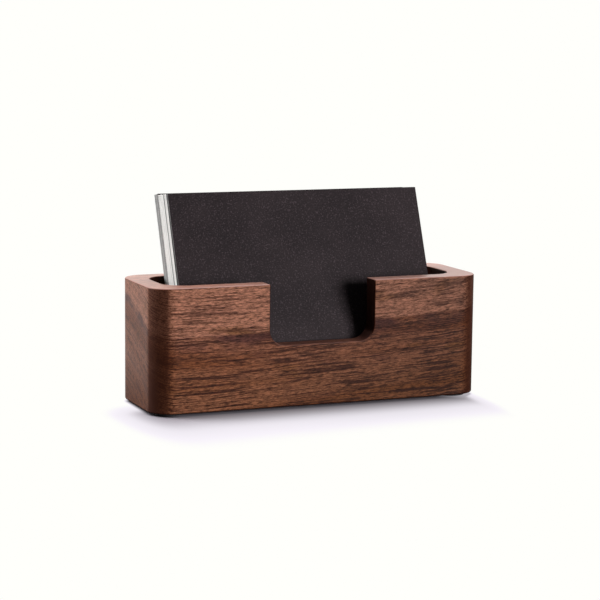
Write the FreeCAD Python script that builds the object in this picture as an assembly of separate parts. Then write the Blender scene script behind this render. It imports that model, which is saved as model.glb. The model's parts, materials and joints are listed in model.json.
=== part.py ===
# Business card holder: a walnut block with an oblong trough and a thumb notch, on four round
# pads, with a pack of cards that leans back in the trough.
# Sizes are in millimetres and angles in degrees. X runs along the block, -Y is the front and Z is
# up. The origin is on the surface that the pads stand on, under the middle of the block.
import FreeCAD, Part
import math
import os

# The block, with its upright corners and its sanded edges.
BLOCK_LENGTH = 116.0
BLOCK_DEPTH = 36.5
BLOCK_HEIGHT = 40.5
CORNER_RADIUS = 7.5
RIM_SOFTENING = 0.4
UNDERSIDE_SOFTENING = 0.5

# The trough: the room past each end of a card, the wood left before, behind and under the trough,
# and how steeply its floor falls to the back. The end walls are what the block's length leaves.
CARD_END_ROOM = 6.2
FRONT_WALL = 6.7
BACK_WALL = 5.0
TROUGH_CORNER_RADIUS = 7.6
FLOOR_THICKNESS = 15.1
FLOOR_FALL = 5.0

# The thumb notch in the front wall. Its sill height is measured from the block's underside.
NOTCH_WIDTH = 37.0
NOTCH_SILL_HEIGHT = 20.3
NOTCH_CORNER_RADIUS = 5.4

# The pads stuck under the block, one near each corner.
PAD_DIAMETER = 10.0
PAD_THICKNESS = 0.9
PAD_EDGE_RADIUS = 0.25
PAD_INSET = 2.4

# The cards, numbered from the front of the pack.
CARD_WIDTH = 90.0
CARD_HEIGHT = 54.0
CARD_THICKNESS = 0.37
CARD_COUNT = 36
PACK_OFFSET = 0.8

# Air round the cards: under them, before the front card's foot, behind the pack at the back rim,
# between neighbours in the pack, and behind the front card, which moves by itself.
SEAT_CLEARANCE = 0.1
TOE_CLEARANCE = 0.15
RIM_CLEARANCE = 0.1
CARD_GAP = 0.01
FRONT_CARD_GAP = 0.05

# How untidy the pack is. Proud cards stand higher than the rest by one lift.
SIDE_SCATTER = 0.12
LIFT_SCATTER = 0.08
TWIST_SCATTER = 0.08
PROUD_CARDS = (1, 2, 3, 4, 27)
PROUD_LIFT = 0.35
SCATTER_STEP = 137.5

# Cutters run past the faces that they cut by this much, and a round corner takes up at most this
# share of the side that it is on.
CUTTER_MARGIN = 1.0
LARGEST_ROUND_SHARE = 0.49

UNDERSIDE_Z = PAD_THICKNESS
RIM_Z = UNDERSIDE_Z + BLOCK_HEIGHT
FRONT_Y = -BLOCK_DEPTH / 2
TROUGH_LENGTH = CARD_WIDTH + 2 * CARD_END_ROOM
TROUGH_DEPTH = BLOCK_DEPTH - FRONT_WALL - BACK_WALL
TROUGH_FRONT_Y = FRONT_Y + FRONT_WALL
TROUGH_BACK_Y = TROUGH_FRONT_Y + TROUGH_DEPTH
X_AXIS = FreeCAD.Vector(1, 0, 0)
Y_AXIS = FreeCAD.Vector(0, 1, 0)
Z_AXIS = FreeCAD.Vector(0, 0, 1)
TOLERANCE = 1e-4


def edges_along(shape, axis):
    """The straight edges of a shape that run along an axis."""
    found = []
    for edge in shape.Edges:
        run = edge.valueAt(edge.LastParameter) - edge.valueAt(edge.FirstParameter)
        if run.cross(axis).Length < TOLERANCE:
            found.append(edge)
    return found


def edges_at_height(shape, height):
    """The edges of a shape that lie in the level plane at a height."""
    found = []
    for edge in shape.Edges:
        box = edge.BoundBox
        if abs(box.ZMin - height) < TOLERANCE and abs(box.ZMax - height) < TOLERANCE:
            found.append(edge)
    return found


def rounded_upright(length, depth, radius, corner, height):
    """An upright prism whose four upright corners are round, from its low left front corner."""
    prism = Part.makeBox(length, depth, height, corner)
    return prism.makeFillet(radius, edges_along(prism, Z_AXIS))


def trough_corner_radius():
    """The radius of the trough's upright corners, which its width front to back limits."""
    return min(TROUGH_CORNER_RADIUS, LARGEST_ROUND_SHARE * TROUGH_DEPTH)


def floor_height(y):
    """The height of the trough's floor, which is lowest at its back."""
    rise = (TROUGH_BACK_Y - y) * math.tan(math.radians(FLOOR_FALL))
    return UNDERSIDE_Z + FLOOR_THICKNESS + rise


def trough_cutter():
    """The space of the trough, from its sloping floor to above the rim."""
    corner = FreeCAD.Vector(-TROUGH_LENGTH / 2, TROUGH_FRONT_Y, UNDERSIDE_Z)
    height = BLOCK_HEIGHT + CUTTER_MARGIN
    space = rounded_upright(TROUGH_LENGTH, TROUGH_DEPTH, trough_corner_radius(), corner, height)
    front_y = TROUGH_FRONT_Y - CUTTER_MARGIN
    back_y = TROUGH_BACK_Y + CUTTER_MARGIN
    left_x = -BLOCK_LENGTH / 2
    low_z = UNDERSIDE_Z - CUTTER_MARGIN
    profile = Part.makePolygon([
        FreeCAD.Vector(left_x, front_y, low_z),
        FreeCAD.Vector(left_x, back_y, low_z),
        FreeCAD.Vector(left_x, back_y, floor_height(back_y)),
        FreeCAD.Vector(left_x, front_y, floor_height(front_y)),
        FreeCAD.Vector(left_x, front_y, low_z),
    ])
    wood_below = Part.Face(profile).extrude(X_AXIS * BLOCK_LENGTH)
    return space.cut(wood_below)


def notch_cutter():
    """The space of the thumb notch, through the front wall and open at the top."""
    sill_z = UNDERSIDE_Z + NOTCH_SILL_HEIGHT
    corner = FreeCAD.Vector(-NOTCH_WIDTH / 2, FRONT_Y - CUTTER_MARGIN, sill_z)
    depth = FRONT_WALL + 2 * CUTTER_MARGIN
    space = Part.makeBox(NOTCH_WIDTH, depth, RIM_Z + CUTTER_MARGIN - sill_z, corner)
    bottom_edges = []
    for edge in edges_along(space, Y_AXIS):
        if abs(edge.BoundBox.ZMax - sill_z) < TOLERANCE:
            bottom_edges.append(edge)
    radius = min(NOTCH_CORNER_RADIUS, LARGEST_ROUND_SHARE * NOTCH_WIDTH)
    return space.makeFillet(radius, bottom_edges)


def notch_edges(block):
    """The edges of the notch on the block's front face and on the trough's front wall."""
    sill_z = UNDERSIDE_Z + NOTCH_SILL_HEIGHT
    found = []
    for edge in block.Edges:
        box = edge.BoundBox
        upright = box.YMax - box.YMin < TOLERANCE
        on_a_face = min(abs(box.YMin - FRONT_Y), abs(box.YMin - TROUGH_FRONT_Y)) < TOLERANCE
        in_the_notch = max(abs(box.XMin), abs(box.XMax)) < NOTCH_WIDTH / 2 + TOLERANCE
        above_the_sill = box.ZMin > sill_z - TOLERANCE and box.ZMin < RIM_Z - TOLERANCE
        if upright and on_a_face and in_the_notch and above_the_sill:
            found.append(edge)
    return found


def holder_block():
    """The walnut block with its trough and notch, and every edge that a hand meets softened."""
    corner = FreeCAD.Vector(-BLOCK_LENGTH / 2, FRONT_Y, UNDERSIDE_Z)
    radius = min(CORNER_RADIUS, LARGEST_ROUND_SHARE * BLOCK_DEPTH)
    block = rounded_upright(BLOCK_LENGTH, BLOCK_DEPTH, radius, corner, BLOCK_HEIGHT)
    block = block.makeFillet(UNDERSIDE_SOFTENING, edges_at_height(block, UNDERSIDE_Z))
    block = block.cut(trough_cutter()).cut(notch_cutter())
    return block.makeFillet(RIM_SOFTENING, edges_at_height(block, RIM_Z) + notch_edges(block))


def pad(x, y):
    """One round pad under the block, with a rounded lower edge."""
    disc = Part.makeCylinder(PAD_DIAMETER / 2, PAD_THICKNESS, FreeCAD.Vector(x, y, 0))
    return disc.makeFillet(PAD_EDGE_RADIUS, edges_at_height(disc, 0))


def card_front_offset(number):
    """How far a card's front face lies behind the front face of the pack, square to the cards."""
    if number == 1:
        return 0.0
    return FRONT_CARD_GAP - CARD_GAP + (number - 1) * (CARD_THICKNESS + CARD_GAP)


def wall_inset():
    """How far the trough's round corners bring its long walls inward beside the cards' corners."""
    corner_x = CARD_WIDTH / 2 + abs(PACK_OFFSET) + SIDE_SCATTER
    radius = trough_corner_radius()
    into_the_round = max(corner_x - (TROUGH_LENGTH / 2 - radius), 0)
    return radius - math.sqrt(radius ** 2 - into_the_round ** 2)


def foot_point():
    """Where the pack's front face meets the floor, as Y and Z, just clear of the front wall."""
    y = TROUGH_FRONT_Y + wall_inset() + TOE_CLEARANCE
    return y, floor_height(y) + SEAT_CLEARANCE


def pack_lean():
    """The angle at which the pack leans back from the upright.

    The pack's front face passes the foot point, and its back face passes the trough's back rim.
    The angle is the one at which these two points are the pack's thickness apart, square to the
    cards.
    """
    foot_y, foot_z = foot_point()
    reach_y = TROUGH_BACK_Y - wall_inset() - foot_y
    reach_z = RIM_Z - foot_z
    thickness = card_front_offset(CARD_COUNT) + CARD_THICKNESS + RIM_CLEARANCE
    turn = math.acos(thickness / math.hypot(reach_y, reach_z))
    return math.degrees(turn - math.atan2(reach_z, reach_y))


def card(number, lean):
    """One card of the pack, seated on the sloping floor and leaning with the others."""
    scatter = math.radians(number * SCATTER_STEP)
    side = PACK_OFFSET + SIDE_SCATTER * math.cos(scatter)
    twist = TWIST_SCATTER * math.sin(scatter + number)
    lift = LIFT_SCATTER * (1 + math.sin(scatter)) / 2
    if number in PROUD_CARDS:
        lift += PROUD_LIFT
    # A leaning card stands on the lower of its two bottom edges, and a twisted one on a corner.
    front = card_front_offset(number)
    slope = math.tan(math.radians(lean - FLOOR_FALL))
    seat = max(front * slope, (front + CARD_THICKNESS) * slope)
    seat += CARD_WIDTH / 2 * math.sin(math.radians(abs(twist)))
    solid = Part.makeBox(CARD_WIDTH, CARD_THICKNESS, CARD_HEIGHT, FreeCAD.Vector(-CARD_WIDTH / 2, 0, 0))
    solid.rotate(FreeCAD.Vector(0, 0, CARD_HEIGHT / 2), Y_AXIS, twist)
    solid.translate(FreeCAD.Vector(side, front, seat + lift))
    solid.rotate(FreeCAD.Vector(0, 0, 0), X_AXIS, -lean)
    foot_y, foot_z = foot_point()
    solid.translate(FreeCAD.Vector(0, foot_y, foot_z))
    return solid


def pads():
    """The four pads by name, each set in from the block's two nearest sides."""
    reach_x = BLOCK_LENGTH / 2 - PAD_INSET - PAD_DIAMETER / 2
    reach_y = BLOCK_DEPTH / 2 - PAD_INSET - PAD_DIAMETER / 2
    named = {}
    for row, y in (("front", -reach_y), ("back", reach_y)):
        for side, x in (("left", -reach_x), ("right", reach_x)):
            named["foot_" + row + "_" + side] = pad(x, y)
    return named


def nodes():
    """Every piece of the holder by name."""
    named = {"holder_block": holder_block()}
    named.update(pads())
    lean = pack_lean()
    for number in range(1, CARD_COUNT + 1):
        named["card_%02d" % number] = card(number, lean)
    return named


os.makedirs("parts", exist_ok=True)
for name, shape in nodes().items():
    shape.exportStep(os.path.join("parts", name + ".step"))
print("The cards lean back by", round(pack_lean(), 3), "degrees")
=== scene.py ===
# A business card holder: a walnut block on four pads, with a pack of cards in its trough.
# Lengths are in metres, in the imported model's frame. The front is towards -Y.
import json
import math

import bpy
import numpy as np
from mathutils import Matrix, Vector


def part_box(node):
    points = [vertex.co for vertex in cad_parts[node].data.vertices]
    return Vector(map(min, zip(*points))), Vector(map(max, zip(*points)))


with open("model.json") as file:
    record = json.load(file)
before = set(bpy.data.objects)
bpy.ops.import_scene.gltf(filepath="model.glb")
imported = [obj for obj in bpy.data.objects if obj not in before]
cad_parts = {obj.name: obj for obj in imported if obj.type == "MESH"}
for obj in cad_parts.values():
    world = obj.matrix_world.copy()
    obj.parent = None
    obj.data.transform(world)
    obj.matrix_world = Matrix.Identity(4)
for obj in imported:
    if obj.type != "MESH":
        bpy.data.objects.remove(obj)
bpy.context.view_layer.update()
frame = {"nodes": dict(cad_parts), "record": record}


# The walnut block. One piece of solid walnut, sawn with the grain along the block, milled from the
# top and through the front wall, sanded, its edges softened, and finished with a satin oil.
BLOCK_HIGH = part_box("holder_block")[1]

# Its grain and its trough are laid out in millimetres.
MILLIMETRES = 1000.0
GRAIN_SLOPE = 0.035
GRAIN_BEND = 0.0003
BEND_START = -20.0
PITH_BEHIND = 48.0
PITH_BELOW = -93.0
FIRST_RING = 137.0
TROUGH_HALF_LENGTH = 51.7
TROUGH_FRONT = -12.0
TROUGH_BACK = 13.7
TROUGH_EDGE = 0.1

# How far each noise is drawn out: a small first number makes it run long along the block.
SWAY_STRETCH = (0.018, 0.05, 0.05)
SWAY_REACH = (0.0, 3.0, 3.0)
ZONE_STRETCH = (0.010, 0.16, 1.0)
CONTOUR_STRETCH = (0.020, 0.98, 1.0)
BREAK_STRETCH = (0.065, 0.55, 0.55)
STREAK_STRETCH = (0.055, 2.1, 2.1)
PORE_STRETCH = (0.33, 2.5, 2.5)
FIBRE_STRETCH = (0.55, 3.4, 3.4)
PATCH_STRETCH = (0.055, 0.16, 0.16)

WALNUT_LIGHT = (0.350, 0.146, 0.090, 1.0)
WALNUT_MID = (0.160, 0.049, 0.020, 1.0)
WALNUT_DARK = (0.046, 0.013, 0.007, 1.0)
WALNUT_PORE = (0.026, 0.007, 0.004, 1.0)
WALNUT_GOLD = (0.160, 0.058, 0.017, 1.0)
WALNUT_PURPLE = (0.072, 0.023, 0.020, 1.0)
WALNUT_PAINTED_HIGHLIGHT = (0.430, 0.200, 0.158, 1.0)
LEFT_PAINTED_LIGHT = 1.20
RIGHT_PAINTED_SHADE = 0.68
TROUGH_PAINTED_SHADE = 0.09

OIL_ROUGHNESS = 0.38
OIL_IOR = 1.33
BARE_WOOD_GLOSS = 0.09
FACE_OIL = 0.14
END_OIL = 0.30
RIM_OIL = 0.66


def add_node(tree, kind, inputs=None, **settings):
    """A node of one kind, with its settings made and its inputs set to a value or linked."""
    made = tree.nodes.new(kind)
    for name, value in settings.items():
        setattr(made, name, value)
    for name, value in (inputs or {}).items():
        if isinstance(value, bpy.types.NodeSocket):
            tree.links.new(value, made.inputs[name])
        else:
            made.inputs[name].default_value = value
    return made


def calculate(tree, operation, first, second=0.0, third=0.0):
    """The result of one Math node."""
    inputs = {0: first, 1: second, 2: third}
    return add_node(tree, "ShaderNodeMath", inputs, operation=operation).outputs[0]


def remap(tree, value, low, high, to_low=0.0, to_high=1.0):
    """A value taken smoothly from one range to another, and held at its ends."""
    inputs = {"Value": value, "From Min": low, "From Max": high, "To Min": to_low, "To Max": to_high}
    made = add_node(tree, "ShaderNodeMapRange", inputs, interpolation_type="SMOOTHSTEP")
    return made.outputs["Result"]


def blend_colours(tree, factor, under, over, blend_type="MIX"):
    """Two colours mixed by a factor."""
    made = add_node(tree, "ShaderNodeMix", {"Factor": factor}, data_type="RGBA", blend_type=blend_type)
    for index, colour in ((6, under), (7, over)):
        if isinstance(colour, bpy.types.NodeSocket):
            tree.links.new(colour, made.inputs[index])
        else:
            made.inputs[index].default_value = colour
    return made.outputs[2]


def stretched_noise(tree, point, stretch, detail=2.0, roughness=0.5, shift=0.0):
    """Noise on a point whose three coordinates are first scaled, so that its features run out long."""
    inputs = {"Vector": point, "Scale": stretch, "Location": (shift, shift, shift)}
    placed = add_node(tree, "ShaderNodeMapping", inputs)
    inputs = {"Vector": placed.outputs[0], "Scale": 1.0, "Detail": detail, "Roughness": roughness}
    return add_node(tree, "ShaderNodeTexNoise", inputs, noise_dimensions="3D").outputs["Fac"]


def new_material(name):
    """A material without any nodes yet, and its node tree."""
    material = bpy.data.materials.new(name)
    material.use_nodes = True
    material.node_tree.nodes.clear()
    return material, material.node_tree


def finish_material(tree, base_color, roughness, normal, others):
    """A Principled surface on a colour, roughness, normal and other inputs, joined to the output."""
    inputs = {"Base Color": base_color, "Roughness": roughness, "Normal": normal, **others}
    surface = add_node(tree, "ShaderNodeBsdfPrincipled", inputs)
    output = add_node(tree, "ShaderNodeOutputMaterial")
    tree.links.new(surface.outputs[0], output.inputs["Surface"])


def walnut_material():
    """Walnut as a solid texture, so that the end grain and the milled faces are cut from one log.

    The grain rises to the right, faster towards that end. The distance from the pith, which lies
    behind and below, sets the growth zones, and noise drawn out along the grain sets the rest.
    """
    material, tree = new_material("oiled_walnut")
    coordinates = add_node(tree, "ShaderNodeTexCoord").outputs["Object"]
    scale = (MILLIMETRES, MILLIMETRES, MILLIMETRES)
    scaled = add_node(tree, "ShaderNodeMapping", {"Vector": coordinates, "Scale": scale}).outputs[0]
    place = add_node(tree, "ShaderNodeSeparateXYZ", {0: scaled})
    along = place.outputs["X"]
    beyond = calculate(tree, "SUBTRACT", along, BEND_START)
    bend = calculate(tree, "MULTIPLY", calculate(tree, "MULTIPLY", beyond, beyond), GRAIN_BEND)
    rise = calculate(tree, "MULTIPLY_ADD", along, GRAIN_SLOPE, bend)
    level = calculate(tree, "SUBTRACT", place.outputs["Z"], rise)
    inputs = {"X": along, "Y": place.outputs["Y"], "Z": level}
    grain = add_node(tree, "ShaderNodeCombineXYZ", inputs).outputs[0]

    # The grain wanders a little, so the point is pushed off the straight before it is measured.
    sway = add_node(tree, "ShaderNodeMapping", {"Vector": grain, "Scale": SWAY_STRETCH})
    inputs = {"Vector": sway.outputs[0], "Scale": 1.0, "Detail": 2.0, "Roughness": 0.5}
    sway = add_node(tree, "ShaderNodeTexNoise", inputs, noise_dimensions="3D").outputs["Color"]
    inputs = {0: sway, 1: (0.5, 0.5, 0.5)}
    sway = add_node(tree, "ShaderNodeVectorMath", inputs, operation="SUBTRACT").outputs[0]
    inputs = {0: sway, 1: SWAY_REACH, 2: grain}
    point = add_node(tree, "ShaderNodeVectorMath", inputs, operation="MULTIPLY_ADD").outputs[0]

    inputs = {0: point, 1: (0.0, PITH_BEHIND, PITH_BELOW)}
    from_pith = add_node(tree, "ShaderNodeVectorMath", inputs, operation="SUBTRACT").outputs[0]
    inputs = {0: from_pith, 1: (0.0, 1.0, 1.0)}
    across = add_node(tree, "ShaderNodeVectorMath", inputs, operation="MULTIPLY").outputs[0]
    radius = add_node(tree, "ShaderNodeVectorMath", {0: across}, operation="LENGTH").outputs["Value"]
    rings = add_node(tree, "ShaderNodeCombineXYZ", {"X": along, "Y": radius}).outputs[0]

    zones = stretched_noise(tree, rings, ZONE_STRETCH, 2.0, 0.5, 3.7)
    contours = stretched_noise(tree, rings, CONTOUR_STRETCH, 2.0, 0.5, 5.1)
    breaks = stretched_noise(tree, point, BREAK_STRETCH, 2.0, 0.6, 8.8)
    streaks = stretched_noise(tree, point, STREAK_STRETCH, 3.0, 0.65, 1.9)
    pores = stretched_noise(tree, point, PORE_STRETCH, 2.0, 0.6, 7.7)
    fibres = stretched_noise(tree, point, FIBRE_STRETCH, 3.0, 0.8, 2.3)
    patches = stretched_noise(tree, point, PATCH_STRETCH, 2.0, 0.5, 17.0)

    # The way a face looks tells the ends, the rim and the underside from the long faces.
    facing = add_node(tree, "ShaderNodeTexCoord").outputs["Normal"]
    facing = add_node(tree, "ShaderNodeSeparateXYZ", {0: facing})
    endways = calculate(tree, "ABSOLUTE", facing.outputs["X"])
    end_face = remap(tree, endways, 0.970, 0.9995)
    upward = facing.outputs["Z"]

    # Outside the last wide ring the wood is lighter, and a darker purplish band lies just inside it.
    past = calculate(tree, "SUBTRACT", radius, FIRST_RING)
    outer = remap(tree, past, -0.5, 0.5)
    inner = calculate(tree, "SUBTRACT", 1.0, outer)
    inner = calculate(tree, "MULTIPLY", inner, remap(tree, past, -6.5, -1.0))
    inner = calculate(tree, "MULTIPLY", inner, remap(tree, patches, 0.40, 0.58))

    tone = calculate(tree, "MULTIPLY_ADD", outer, 0.95, remap(tree, zones, 0.32, 0.68, 0.0, 0.50))
    colour = blend_colours(tree, tone, WALNUT_MID, WALNUT_LIGHT)
    low = remap(tree, place.outputs["Z"], 24.0, 6.0, 0.0, 0.40)
    gold = calculate(tree, "MAXIMUM", remap(tree, patches, 0.54, 0.74, 0.0, 0.75), low)
    colour = blend_colours(tree, gold, colour, WALNUT_GOLD)
    colour = blend_colours(tree, remap(tree, patches, 0.42, 0.26, 0.0, 0.45), colour, WALNUT_PURPLE)
    colour = blend_colours(tree, calculate(tree, "MULTIPLY", inner, 0.90), colour, WALNUT_PURPLE)

    # Thin dark growth lines are the contours of a slow noise, broken along their length, and fainter
    # in the lighter wood.
    from_contour = calculate(tree, "ABSOLUTE", calculate(tree, "SUBTRACT", contours, 0.5))
    thin_line = remap(tree, from_contour, 0.075, 0.02, 0.0, 0.95)
    thin_line = calculate(tree, "MULTIPLY", thin_line, remap(tree, breaks, 0.40, 0.52))
    thin_line = calculate(tree, "MULTIPLY", thin_line, remap(tree, outer, 0.0, 1.0, 1.0, 0.74))
    colour = blend_colours(tree, thin_line, colour, WALNUT_DARK)
    colour = blend_colours(tree, remap(tree, streaks, 0.43, 0.34, 0.0, 0.32), colour, WALNUT_DARK)
    pore_mask = remap(tree, pores, 0.55, 0.64)
    colour = blend_colours(tree, calculate(tree, "MULTIPLY", pore_mask, 0.70), colour, WALNUT_PORE)
    fibre_depth = remap(tree, end_face, 0.0, 1.0, 0.60, 0.20)
    fibre_light = calculate(tree, "MULTIPLY", remap(tree, fibres, 0.34, 0.66, -1.0, 1.0), fibre_depth)
    fibre_light = calculate(tree, "ADD", fibre_light, 1.0)
    fibre_light = add_node(tree, "ShaderNodeCombineColor", {i: fibre_light for i in range(3)})
    colour = blend_colours(tree, 1.0, colour, fibre_light.outputs[0], "MULTIPLY")

    # The wood is drawn lighter at the left end and darker to the right, a painted shade in place of
    # the front light falling off across the block. Cut end grain drinks more oil and is darker, and the
    # rounded corners are darker still, as painted shade where the front light turns away.
    # The inside of the trough is drawn nearly black, as painted shade in the deep hollow.
    half_length = BLOCK_HIGH.x * MILLIMETRES
    rim_height = BLOCK_HIGH.z * MILLIMETRES
    reach = calculate(tree, "ABSOLUTE", along)
    shade = remap(tree, along, -half_length, half_length, LEFT_PAINTED_LIGHT, RIGHT_PAINTED_SHADE)
    depth, height = place.outputs["Y"], place.outputs["Z"]
    inside = remap(tree, reach, TROUGH_HALF_LENGTH + TROUGH_EDGE, TROUGH_HALF_LENGTH - TROUGH_EDGE)
    within = remap(tree, depth, TROUGH_FRONT - TROUGH_EDGE, TROUGH_FRONT + TROUGH_EDGE)
    inside = calculate(tree, "MULTIPLY", inside, within)
    within = remap(tree, depth, TROUGH_BACK + TROUGH_EDGE, TROUGH_BACK - TROUGH_EDGE)
    inside = calculate(tree, "MULTIPLY", inside, within)
    inside = calculate(tree, "MULTIPLY", inside, remap(tree, height, rim_height - 0.06, rim_height - 0.3))
    shade = calculate(tree, "MULTIPLY", shade, remap(tree, inside, 0.0, 1.0, 1.0, TROUGH_PAINTED_SHADE))
    shade = add_node(tree, "ShaderNodeCombineColor", {i: shade for i in range(3)}).outputs[0]
    colour = blend_colours(tree, 1.0, colour, shade, "MULTIPLY")
    # End grain is darker, and the rounded corners more than the flat ends, as painted shade.
    end_grain_and_corner_shade = remap(tree, endways, 0.10, 0.45, 0.0, 0.82)
    end_grain_and_corner_shade = calculate(tree, "MULTIPLY_ADD", end_face, -0.38, end_grain_and_corner_shade)
    # Painted shade: the ends are drawn darker towards the floor.
    foot = remap(tree, height, 28.0, 4.0, 0.0, 0.18)
    foot = calculate(tree, "MULTIPLY", foot, remap(tree, endways, 0.5, 0.9))
    colour = blend_colours(tree, calculate(tree, "ADD", end_grain_and_corner_shade, foot), colour, WALNUT_DARK)
    # Painted shade: the side walls of the notch are drawn nearly black.
    notch_wall = calculate(tree, "MULTIPLY", remap(tree, endways, 0.4, 0.8), remap(tree, reach, 25.0, 20.0))
    colour = blend_colours(tree, calculate(tree, "MULTIPLY", notch_wall, 0.95), colour, WALNUT_PORE)
    # Painted shade: faces turned downwards, along the foot of the block, are drawn nearly black.
    colour = blend_colours(tree, remap(tree, upward, -0.05, -0.50, 0.0, 0.85), colour, WALNUT_PORE)

    # The rim and its softened outer edges are drawn paler and pinker, a painted highlight for the
    # light from above and the reflection along the edges, brighter towards the right and fainter on the
    # sill.
    level_face = remap(tree, upward, 0.35, 0.60)
    painted_rim_highlight = remap(tree, upward, 0.999, 0.96, 0.50, 0.88)
    painted_rim_highlight = calculate(tree, "ADD", painted_rim_highlight, remap(tree, along, 25.0, 55.0, 0.0, 0.45))
    painted_rim_highlight = calculate(tree, "MULTIPLY", painted_rim_highlight, level_face)
    painted_rim_highlight = calculate(tree, "MULTIPLY", painted_rim_highlight, remap(tree, height, 24.0, 36.0, 0.42, 1.0))
    painted_rim_highlight = calculate(tree, "MULTIPLY", painted_rim_highlight, calculate(tree, "SUBTRACT", 1.0, inside))
    colour = blend_colours(tree, painted_rim_highlight, colour, WALNUT_PAINTED_HIGHLIGHT)
    rim = remap(tree, height, rim_height - 2.0, rim_height - 1.0)
    rim = calculate(tree, "MULTIPLY", rim, level_face)

    roughness = remap(tree, zones, 0.3, 0.7, 0.62, 0.54)
    roughness = calculate(tree, "MULTIPLY_ADD", pore_mask, 0.15, roughness)
    roughness = calculate(tree, "MULTIPLY_ADD", rim, -0.22, roughness)
    relief = calculate(tree, "MULTIPLY_ADD", pore_mask, -1.0, calculate(tree, "MULTIPLY", fibres, 0.5))
    inputs = {"Height": relief, "Strength": 0.15, "Distance": 0.0001}
    normal = add_node(tree, "ShaderNodeBump", inputs).outputs[0]

    # The oil shines on the rim and the ends, a little on the long faces, and not on the corners.
    oil = calculate(tree, "MULTIPLY_ADD", rim, RIM_OIL, remap(tree, endways, 0.10, 0.45, FACE_OIL, 0.0))
    oil = calculate(tree, "MULTIPLY_ADD", end_face, END_OIL, oil)
    coat = {"Coat Weight": oil, "Coat Roughness": OIL_ROUGHNESS, "Coat IOR": OIL_IOR}
    wood = {"Specular IOR Level": BARE_WOOD_GLOSS, "IOR": OIL_IOR}
    finish_material(tree, colour, roughness, normal, {**wood, **coat})
    return material


def dress(node, material):
    """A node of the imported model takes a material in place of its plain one."""
    for slot in frame["nodes"][node].material_slots:
        slot.material = material


dress("holder_block", walnut_material())


# The pads. Four discs punched from black rubber sheet and stuck under the block by their own
# adhesive. Their cut edges are matt and slightly grainy.
RUBBER_DARK = (0.010, 0.010, 0.011, 1.0)
RUBBER_LIGHT = (0.028, 0.027, 0.028, 1.0)
RUBBER_GRAIN = (2600.0, 2600.0, 2600.0)
RUBBER_IOR = 1.5


def pad_material():
    """Matt black rubber with a fine moulded grain."""
    material, tree = new_material("black_rubber")
    coordinates = add_node(tree, "ShaderNodeTexCoord").outputs["Object"]
    grain = stretched_noise(tree, coordinates, RUBBER_GRAIN, 3.0, 0.6)
    colour = blend_colours(tree, grain, RUBBER_DARK, RUBBER_LIGHT)
    roughness = remap(tree, grain, 0.2, 0.8, 0.68, 0.85)
    inputs = {"Height": grain, "Strength": 0.3, "Distance": 0.00005}
    normal = add_node(tree, "ShaderNodeBump", inputs).outputs[0]
    finish_material(tree, colour, roughness, normal, {"IOR": RUBBER_IOR})
    return material


rubber = pad_material()
for row in ("front", "back"):
    for side in ("left", "right"):
        dress("foot_" + row + "_" + side, rubber)


# The cards. Uncoated board, guillotined in packs: charcoal ones at the front, then white and grey
# lots. Their faces are plain, and their cut edges show the pack's layers.
CHARCOAL = (0.015, 0.010, 0.012, 1.0)
CHARCOAL_LIGHT = (0.040, 0.028, 0.031, 1.0)
CHARCOAL_FLECK = (0.110, 0.080, 0.092, 1.0)
CHARCOAL_CORE = (0.13, 0.125, 0.125, 1.0)
OFF_WHITE = (0.86, 0.85, 0.83, 1.0)
OFF_WHITE_LIGHT = (0.91, 0.90, 0.88, 1.0)
OFF_WHITE_FLECK = (0.76, 0.74, 0.71, 1.0)
GREY = (0.36, 0.355, 0.35, 1.0)
GREY_LIGHT = (0.44, 0.435, 0.43, 1.0)
GREY_FLECK = (0.52, 0.51, 0.50, 1.0)
PAPER_IOR = 1.25
PAPER_FIBRES = (1500.0, 2600.0, 2600.0)
PAPER_FLECKS = (2100.0, 2100.0, 2100.0)
PAPER_CLOUDS = (60.0, 60.0, 60.0)
ROUGHNESS_SPREAD = 0.06

# For each kind of card, its two tones, its flecks, its roughness, and its core where that shows.
CARD_TONES = {
    "charcoal_card": (CHARCOAL, CHARCOAL_LIGHT, CHARCOAL_FLECK, 0.62, CHARCOAL_CORE),
    "white_card": (OFF_WHITE, OFF_WHITE_LIGHT, OFF_WHITE_FLECK, 0.75, None),
    "grey_card": (GREY, GREY_LIGHT, GREY_FLECK, 0.72, None),
}


def paper_fibre_group():
    """A group that gives paper's fibres, flecks and slow clouds as masks, on a point in metres."""
    group = bpy.data.node_groups.new("paper_fibre", "ShaderNodeTree")
    group.interface.new_socket("Vector", in_out="INPUT", socket_type="NodeSocketVector")
    group.interface.new_socket("Fibre", in_out="OUTPUT", socket_type="NodeSocketFloat")
    group.interface.new_socket("Fleck", in_out="OUTPUT", socket_type="NodeSocketFloat")
    group.interface.new_socket("Cloud", in_out="OUTPUT", socket_type="NodeSocketFloat")
    given = add_node(group, "NodeGroupInput").outputs["Vector"]
    fibre = stretched_noise(group, given, PAPER_FIBRES, 4.0, 0.65)
    fleck = stretched_noise(group, given, PAPER_FLECKS, 2.0, 0.5, 4.0)
    cloud = stretched_noise(group, given, PAPER_CLOUDS, 3.0, 0.5, 9.0)
    inputs = {"Fibre": fibre, "Fleck": fleck, "Cloud": cloud}
    add_node(group, "NodeGroupOutput", inputs)
    return group


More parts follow.
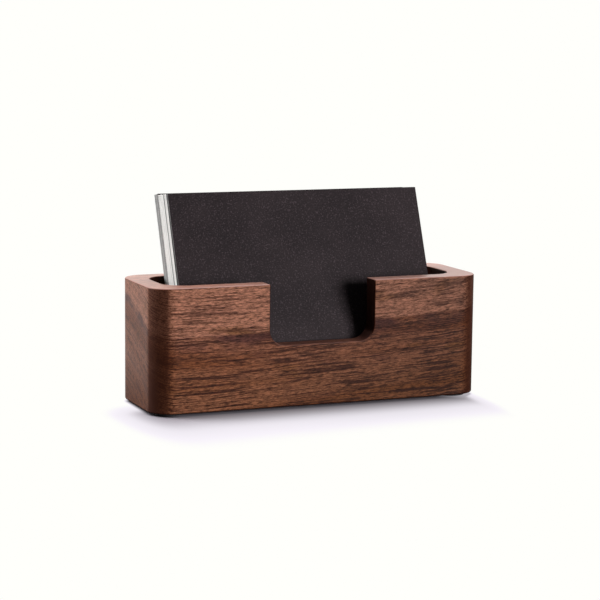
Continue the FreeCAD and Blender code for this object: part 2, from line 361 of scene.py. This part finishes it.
def card_material(name, dark, light, fleck, roughness, core):
    """Uncoated card: two tones mixed by its fibres and a slow cloud, with a few coloured flecks.

    A dyed card may have a paler core, which shows on its cut left and right edges.
    """
    material, tree = new_material(name)
    coordinates = add_node(tree, "ShaderNodeTexCoord").outputs["Object"]
    paper = add_node(tree, "ShaderNodeGroup", node_tree=paper_fibre)
    tree.links.new(coordinates, paper.inputs["Vector"])
    fibre, spots, cloud = (paper.outputs[key] for key in ("Fibre", "Fleck", "Cloud"))
    tone = remap(tree, cloud, 0.3, 0.7, 0.0, 0.4)
    tone = calculate(tree, "ADD", tone, remap(tree, fibre, 0.3, 0.7, 0.0, 0.6))
    colour = blend_colours(tree, tone, dark, light)
    colour = blend_colours(tree, remap(tree, spots, 0.54, 0.68, 0.0, 0.45), colour, fleck)
    if core is not None:
        facing = add_node(tree, "ShaderNodeTexCoord").outputs["Normal"]
        facing = add_node(tree, "ShaderNodeSeparateXYZ", {0: facing})
        sideways = calculate(tree, "ABSOLUTE", facing.outputs["X"])
        colour = blend_colours(tree, remap(tree, sideways, 0.4, 0.6), colour, core)
    rough = remap(tree, fibre, 0.3, 0.7, roughness - ROUGHNESS_SPREAD, roughness + ROUGHNESS_SPREAD)
    inputs = {"Height": fibre, "Strength": 0.25, "Distance": 0.00003}
    normal = add_node(tree, "ShaderNodeBump", inputs).outputs[0]
    finish_material(tree, colour, rough, normal, {"IOR": PAPER_IOR})
    return material


paper_fibre = paper_fibre_group()
card_papers = {name: card_material(name, *tones) for name, tones in CARD_TONES.items()}
for subpart in frame["record"]["subparts"]:
    if subpart["material_slot"] in card_papers:
        dress(subpart["node"], card_papers[subpart["material_slot"]])


# The floor, the light and the camera. A plain pale sweep with a white backdrop behind the object,
# and soft panels: one in front to the right, one high behind, and one behind to the left.
FLOOR_HALF = 6.0
FLOOR_PALE = (0.420, 0.385, 0.430, 1.0)
FLOOR_PAINTED_SHADOW = (0.060, 0.055, 0.060, 1.0)
FLOOR_BOUNCE = (0.08, 0.08, 0.08, 1.0)
FLOOR_ROUGHNESS = 0.25
WHITE = (1.0, 1.0, 0.967, 1.0)
DIM = (0.03, 0.03, 0.032, 1.0)
BACK_FILL = (0.25, 0.25, 0.25, 1.0)
LILAC = (0.985, 0.945, 1.01, 1.0)

# The shadow the camera sees fades to white in two painted steps, a core and a tail, by the distance past
# the block's footprint.
CORNER_RADIUS = 0.0075
CORE_SHARE = 0.75
CORE_START = -0.005
CORE_END = 0.020
TAIL_START = 0.005
TAIL_END = 0.045
GAP_START = -0.0015
GAP_END = 0.0006
LEFT_FADE = 1.0
RIGHT_FADE = 4.6
FADE_GROWTH = 80.0
BACK_FADE = 3.0
SHADOW_LEAN = 2.2
LEAST_LEAN = 0.5
PAINTED_CORNER_START = 0.042
PAINTED_CORNER_END = 0.058
PAINTED_CORNER_LIFT = 0.45
UNDER_START = -0.048
UNDER_END = -0.054
FAR_END = 0.10


def floor_material():
    """A pale, slightly glossy floor. The camera sees it rise to white just past the contact shadow.

    The camera sees the real shadow near the block, mixed towards white by a painted fade that
    follows the distance in front of the block, shaped as if the light came from behind and a little
    from the right. It fades faster towards the right, beyond the ends and behind the block. There is
    no fade to white under the block, where the pads leave a dark gap.
    """
    material, tree = new_material("pale_floor")
    coordinates = add_node(tree, "ShaderNodeTexCoord").outputs["Object"]
    inputs = {0: coordinates}
    mirrored = add_node(tree, "ShaderNodeVectorMath", inputs, operation="ABSOLUTE").outputs[0]
    inputs = {0: mirrored, 1: (BLOCK_HIGH.x - CORNER_RADIUS, BLOCK_HIGH.y - CORNER_RADIUS, 0.0)}
    past_middle = add_node(tree, "ShaderNodeVectorMath", inputs, operation="SUBTRACT").outputs[0]
    inputs = {0: past_middle, 1: (0.0, 0.0, 0.0)}
    past_middle = add_node(tree, "ShaderNodeVectorMath", inputs, operation="MAXIMUM").outputs[0]
    inputs = {0: past_middle}
    outside = add_node(tree, "ShaderNodeVectorMath", inputs, operation="LENGTH").outputs["Value"]
    outside = remap(tree, outside, CORNER_RADIUS + GAP_START, CORNER_RADIUS + GAP_END)
    place = add_node(tree, "ShaderNodeSeparateXYZ", {0: coordinates})
    past_end = 0.0
    for side, fade in ((1.0, RIGHT_FADE), (-1.0, LEFT_FADE)):
        past_side = calculate(tree, "MULTIPLY_ADD", place.outputs["X"], side, CORNER_RADIUS - BLOCK_HIGH.x)
        past_side = calculate(tree, "MAXIMUM", past_side, 0.0)
        fade = calculate(tree, "MULTIPLY_ADD", past_side, FADE_GROWTH, fade)
        past_end = calculate(tree, "MULTIPLY_ADD", past_side, fade, past_end)
    behind = calculate(tree, "ADD", place.outputs["Y"], BLOCK_HIGH.y - CORNER_RADIUS)
    in_front = calculate(tree, "MULTIPLY", behind, -1.0)
    past_front = calculate(tree, "MAXIMUM", in_front, calculate(tree, "MULTIPLY", behind, BACK_FADE))
    away = add_node(tree, "ShaderNodeCombineXYZ", {"X": past_end, "Y": past_front}).outputs[0]
    away = add_node(tree, "ShaderNodeVectorMath", {0: away}, operation="LENGTH").outputs["Value"]
    lean = calculate(tree, "MULTIPLY_ADD", place.outputs["X"], SHADOW_LEAN, 1.0)
    lean = calculate(tree, "MAXIMUM", lean, LEAST_LEAN)
    away = calculate(tree, "MULTIPLY", away, lean)
    core = remap(tree, away, CORNER_RADIUS + CORE_START, CORNER_RADIUS + CORE_END, 0.0, CORE_SHARE)
    tail_share = 1.0 - CORE_SHARE
    tail = remap(tree, away, CORNER_RADIUS + TAIL_START, CORNER_RADIUS + TAIL_END, 0.0, tail_share)
    away = calculate(tree, "MULTIPLY", calculate(tree, "ADD", core, tail), outside)

    # At the right front corner the shadow is lifted towards white by a painted light, in place of the front
    # panel on the right.
    painted_corner_light = remap(tree, place.outputs["X"], PAINTED_CORNER_START, PAINTED_CORNER_END, 0.0, PAINTED_CORNER_LIFT)
    painted_corner_light = calculate(tree, "MULTIPLY", painted_corner_light, remap(tree, in_front, -0.002, 0.002))
    away = calculate(tree, "MAXIMUM", away, painted_corner_light)
    # The fading shadow's edge is painted a pale lilac.
    painted_fringe = blend_colours(tree, remap(tree, away, 0.90, 1.0), LILAC, WHITE)
    lift = add_node(tree, "ShaderNodeEmission", {"Color": painted_fringe})

    # Under the left end the floor is drawn darker, a painted shadow in the gap where the panel behind would
    # light it.
    painted_gap_shadow = calculate(tree, "SUBTRACT", 1.0, outside)
    painted_gap_shadow = calculate(tree, "MULTIPLY", painted_gap_shadow, remap(tree, place.outputs["X"], UNDER_START, UNDER_END))
    pale = blend_colours(tree, painted_gap_shadow, FLOOR_PALE, FLOOR_PAINTED_SHADOW)
    pale = add_node(tree, "ShaderNodeBsdfDiffuse", {"Color": pale})
    clear = add_node(tree, "ShaderNodeMixShader", {0: away, 1: pale.outputs[0], 2: lift.outputs[0]})

    # Reflections find the floor behind the block white, as the camera does, and dark elsewhere.
    path = add_node(tree, "ShaderNodeLightPath")
    far = calculate(tree, "MULTIPLY", remap(tree, place.outputs["Y"], 0.0, FAR_END), outside)
    far = calculate(tree, "MULTIPLY", far, path.outputs["Is Glossy Ray"])
    inputs = {"Base Color": FLOOR_BOUNCE, "Roughness": FLOOR_ROUGHNESS}
    inputs.update({"Emission Color": WHITE, "Emission Strength": far})
    glossy = add_node(tree, "ShaderNodeBsdfPrincipled", inputs).outputs[0]
    seen = path.outputs["Is Camera Ray"]
    shown = add_node(tree, "ShaderNodeMixShader", {0: seen, 1: glossy, 2: clear.outputs[0]})
    output = add_node(tree, "ShaderNodeOutputMaterial")
    tree.links.new(shown.outputs[0], output.inputs["Surface"])
    return material


corners = FLOOR_HALF * np.array([(-1, -1, 0), (1, -1, 0), (1, 1, 0), (-1, 1, 0)], float)
floor_mesh = bpy.data.meshes.new("floor")
floor_mesh.from_pydata(corners.tolist(), [], [(0, 1, 2, 3)])
floor = bpy.data.objects.new("floor", floor_mesh)
floor.data.materials.append(floor_material())
bpy.context.scene.collection.objects.link(floor)

world = bpy.data.worlds.new("studio")
world.use_nodes = True
studio = world.node_tree
studio.nodes.clear()
direction = add_node(studio, "ShaderNodeTexCoord").outputs["Generated"]
behind = add_node(studio, "ShaderNodeSeparateXYZ", {0: direction}).outputs["Y"]
behind = remap(studio, behind, 0.0, 0.35)
path = add_node(studio, "ShaderNodeLightPath")
fill = blend_colours(studio, behind, DIM, BACK_FILL)
mirrored = blend_colours(studio, behind, DIM, WHITE)
room = blend_colours(studio, path.outputs["Is Glossy Ray"], fill, mirrored)
room = add_node(studio, "ShaderNodeBackground", {"Color": room})
white = add_node(studio, "ShaderNodeBackground", {"Color": WHITE})
sky = {0: path.outputs["Is Camera Ray"], 1: room.outputs[0], 2: white.outputs[0]}
sky = add_node(studio, "ShaderNodeMixShader", sky)
world_output = add_node(studio, "ShaderNodeOutputWorld")
studio.links.new(sky.outputs[0], world_output.inputs["Surface"])
bpy.context.scene.world = world


def soft_panel(name, place, width, height, watts, aim=(0.0, 0.0, 0.03)):
    """A flat lamp that faces a point on the object."""
    lamp = bpy.data.lights.new(name, "AREA")
    lamp.shape = "RECTANGLE"
    lamp.size = width
    lamp.size_y = height
    lamp.energy = watts
    panel = bpy.data.objects.new(name, lamp)
    panel.location = place
    panel.rotation_euler = (Vector(aim) - Vector(place)).to_track_quat("-Z", "Y").to_euler()
    bpy.context.scene.collection.objects.link(panel)


soft_panel("front_panel", (0.37, -0.77, 0.17), 0.30, 0.34, 6.1)
soft_panel("back_panel", (0.22, 0.44, 0.69), 0.50, 0.20, 5.5)
soft_panel("left_panel", (-0.58, 0.40, 0.34), 0.40, 0.35, 7.8)

# The camera stands to the left in front. It is turned to the right, and looks down a little.
FRAME_PIXELS = 600.0
FOCAL_PIXELS = 1966.0
SENSOR = 36.0
CAMERA_PLACE = (-0.25186, -0.60021, 0.12824)
TURNED_RIGHT = 22.716
LOOKS_DOWN = 8.325
ROLLED = 0.627
camera_data = bpy.data.cameras.new("camera")
camera_data.sensor_width = SENSOR
camera_data.lens = FOCAL_PIXELS / FRAME_PIXELS * SENSOR
camera = bpy.data.objects.new("camera", camera_data)
turn = Matrix.Rotation(-math.radians(TURNED_RIGHT), 4, "Z")
tip = Matrix.Rotation(math.radians(90.0 - LOOKS_DOWN), 4, "X")
roll = Matrix.Rotation(math.radians(ROLLED), 4, "Z")
camera.matrix_world = Matrix.Translation(CAMERA_PLACE) @ turn @ tip @ roll
bpy.context.scene.collection.objects.link(camera)
bpy.context.scene.camera = camera
bpy.context.scene.view_settings.view_transform = "Standard"
